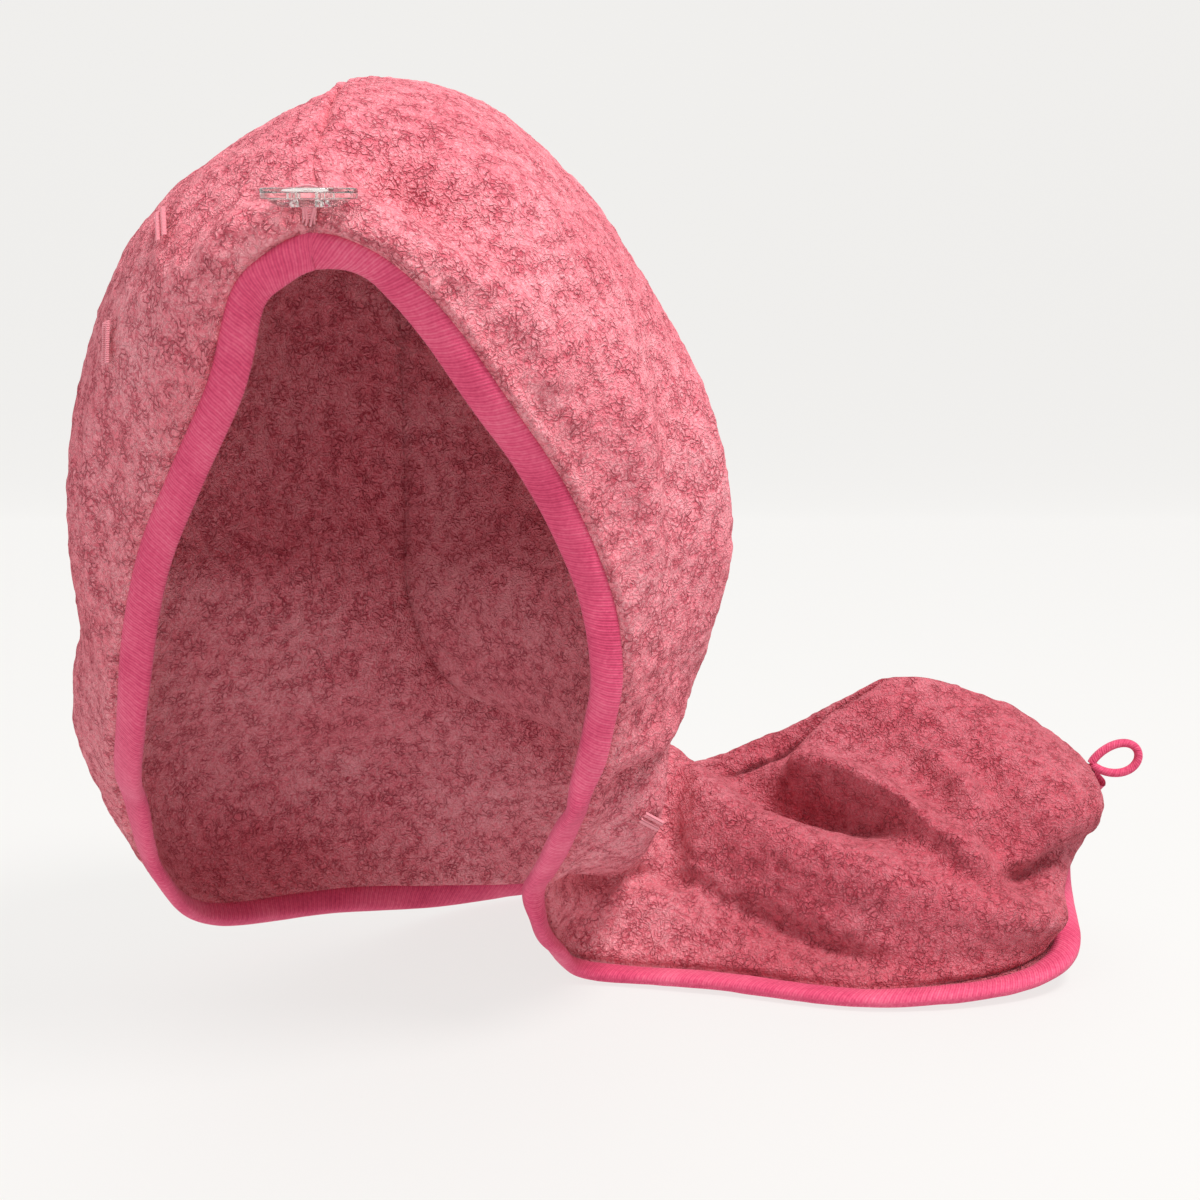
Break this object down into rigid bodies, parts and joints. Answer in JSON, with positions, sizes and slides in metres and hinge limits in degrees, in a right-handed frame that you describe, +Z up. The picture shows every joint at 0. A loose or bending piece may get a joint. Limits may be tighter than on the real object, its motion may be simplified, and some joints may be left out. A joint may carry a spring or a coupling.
{
  "type": "hair turban towel",
  "caption": "Hair turban towel in plush fleece, in its worn form: domed hood with a peaked face opening, bound edge, button above the peak, and a tail laid out to one side.",
  "frame": {"origin": "where the crown of the head carries the towel: the inside of the cloth at its highest point", "axes": "+Z up, -Y the way the face opening looks, +X towards the tip of the tail"},
  "size_m": [0.3629, 0.2723, 0.2884],
  "materials": {
    "fleece": "plush coral fleece, soft pile",
    "tape": "woven ribbed binding tape",
    "clear_plastic": "clear polished acrylic",
    "thread": "twisted sewing thread"
  },
  "bodies": {
    "root": {"right_panel": "fleece", "left_panel": "fleece", "edge_tape": "tape", "button": "clear_plastic", "button_thread": "thread", "hanging_loop": "tape"}
  },
  "joints": []
}
